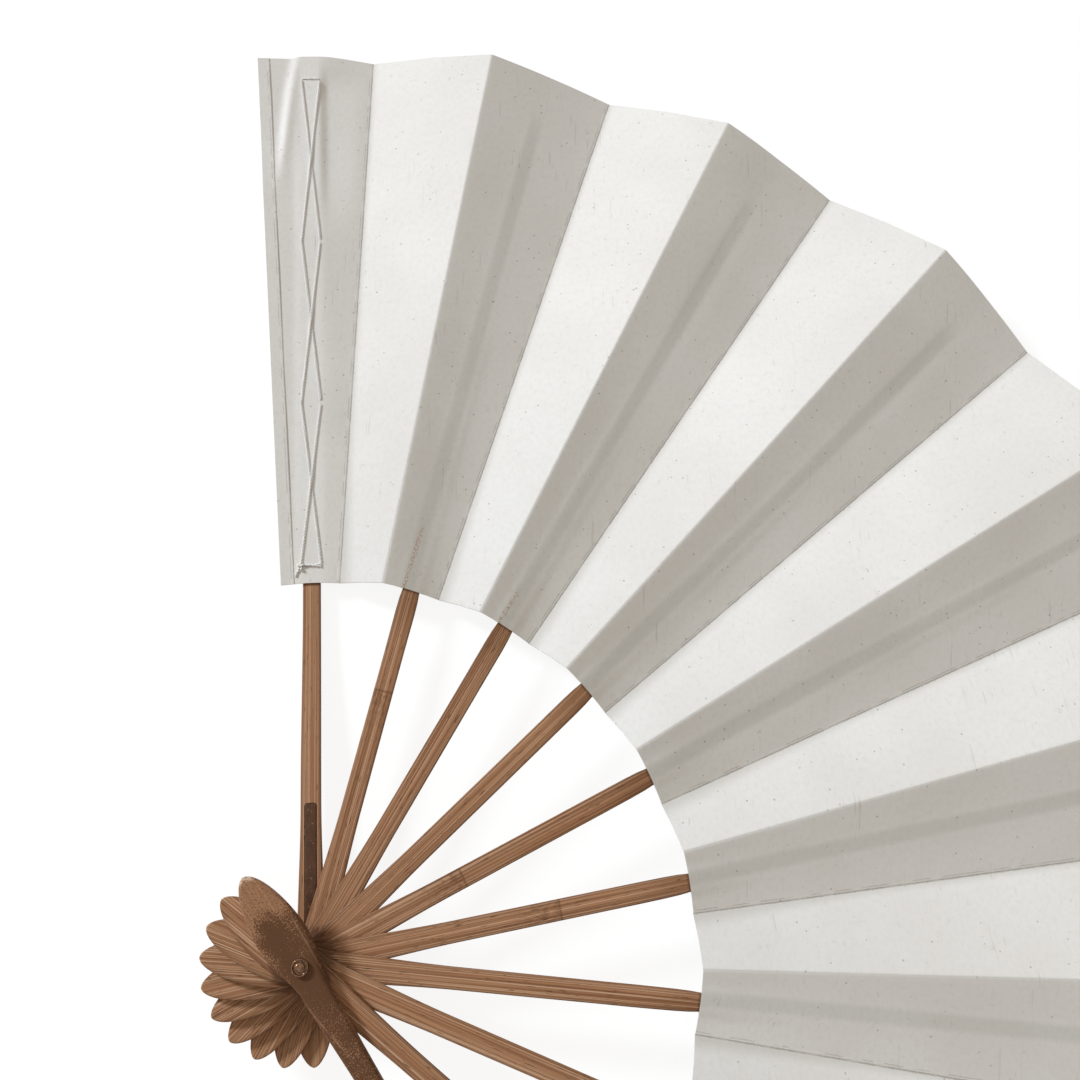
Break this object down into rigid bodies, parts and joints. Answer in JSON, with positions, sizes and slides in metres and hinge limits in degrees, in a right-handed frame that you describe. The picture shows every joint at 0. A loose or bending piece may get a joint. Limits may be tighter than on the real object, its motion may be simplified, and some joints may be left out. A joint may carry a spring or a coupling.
{
  "type": "folding dance fan",
  "caption": "Folding dance fan, open: bamboo ribs and laced guards on one pivot pin, with a plain pleated paper leaf that closes into a slim stack.",
  "frame": {"origin": "on the pivot axis, in the flat rear face of the pivot pin", "axes": "+Z out of the front of the fan along the pivot axis, +Y along the middle line of the open fan, +X to the right seen from the front"},
  "size_m": [0.5062, 0.2831, 0.0243],
  "materials": {
    "bamboo": "planed bamboo with fine grain along the stick, satin",
    "bamboo_dark": "bamboo stained darker round the pivot, satin",
    "paper": "matte white handmade paper with fine fibres",
    "thread": "white twisted thread",
    "lead": "dull dark lead",
    "bronze": "worn bronze"
  },
  "bodies": {
    "guard_rear": {"guard_rear": "bamboo", "weight_rear": "lead", "leaf_guard_rear": "paper", "leaf_hem_rear": "paper", "lacing_rear": "thread", "leaf_link_1": "paper", "pivot_pin": "bronze", "pivot_washer_front": "bronze", "pivot_washer_rear": "bronze"},
    "rib_1": {"rib_1": "bamboo", "leaf_rib_1": "paper", "leaf_link_2": "paper"},
    "rib_2": {"rib_2": "bamboo", "leaf_rib_2": "paper", "leaf_link_3": "paper"},
    "rib_3": {"rib_3": "bamboo", "leaf_rib_3": "paper", "leaf_link_4": "paper"},
    "rib_4": {"rib_4": "bamboo", "leaf_rib_4": "paper", "leaf_link_5": "paper"},
    "rib_5": {"rib_5": "bamboo", "leaf_rib_5": "paper", "leaf_link_6": "paper"},
    "rib_6": {"rib_6": "bamboo", "leaf_rib_6": "paper", "leaf_link_7": "paper"},
    "rib_7": {"rib_7": "bamboo", "leaf_rib_7": "paper", "leaf_link_8": "paper"},
    "rib_8": {"rib_8": "bamboo", "leaf_rib_8": "paper", "leaf_link_9": "paper"},
    "guard_front": {"guard_front": "bamboo_dark", "weight_front": "lead", "leaf_guard_front": "paper", "leaf_hem_front": "paper", "lacing_front": "thread"}
  },
  "joints": [
    {"name": "pleat_1", "type": "hinge", "parent": "guard_rear", "child": "rib_1", "pos_m": [0, 0, 0], "axis": [0, 0, 1], "range_deg": [0, 16.5], "deforming": ["leaf_link_1"]},
    {"name": "pleat_2", "type": "hinge", "parent": "rib_1", "child": "rib_2", "pos_m": [0, 0, 0], "axis": [0, 0, 1], "range_deg": [0, 16.5], "deforming": ["leaf_link_2"]},
    {"name": "pleat_3", "type": "hinge", "parent": "rib_2", "child": "rib_3", "pos_m": [0, 0, 0], "axis": [0, 0, 1], "range_deg": [0, 16.5], "deforming": ["leaf_link_3"]},
    {"name": "pleat_4", "type": "hinge", "parent": "rib_3", "child": "rib_4", "pos_m": [0, 0, 0], "axis": [0, 0, 1], "range_deg": [0, 16.5], "deforming": ["leaf_link_4"]},
    {"name": "pleat_5", "type": "hinge", "parent": "rib_4", "child": "rib_5", "pos_m": [0, 0, 0], "axis": [0, 0, 1], "range_deg": [0, 16.5], "deforming": ["leaf_link_5"]},
    {"name": "pleat_6", "type": "hinge", "parent": "rib_5", "child": "rib_6", "pos_m": [0, 0, 0], "axis": [0, 0, 1], "range_deg": [0, 16.5], "deforming": ["leaf_link_6"]},
    {"name": "pleat_7", "type": "hinge", "parent": "rib_6", "child": "rib_7", "pos_m": [0, 0, 0], "axis": [0, 0, 1], "range_deg": [0, 16.5], "deforming": ["leaf_link_7"]},
    {"name": "pleat_8", "type": "hinge", "parent": "rib_7", "child": "rib_8", "pos_m": [0, 0, 0], "axis": [0, 0, 1], "range_deg": [0, 16.5], "deforming": ["leaf_link_8"]},
    {"name": "pleat_9", "type": "hinge", "parent": "rib_8", "child": "guard_front", "pos_m": [0, 0, 0], "axis": [0, 0, 1], "range_deg": [0, 16.5], "deforming": ["leaf_link_9"]}
  ],
  "couplings": [
    {"joint": "pleat_2", "follows": "pleat_1", "ratio": 1},
    {"joint": "pleat_3", "follows": "pleat_1", "ratio": 1},
    {"joint": "pleat_4", "follows": "pleat_1", "ratio": 1},
    {"joint": "pleat_5", "follows": "pleat_1", "ratio": 1},
    {"joint": "pleat_6", "follows": "pleat_1", "ratio": 1},
    {"joint": "pleat_7", "follows": "pleat_1", "ratio": 1},
    {"joint": "pleat_8", "follows": "pleat_1", "ratio": 1},
    {"joint": "pleat_9", "follows": "pleat_1", "ratio": 1}
  ]
}
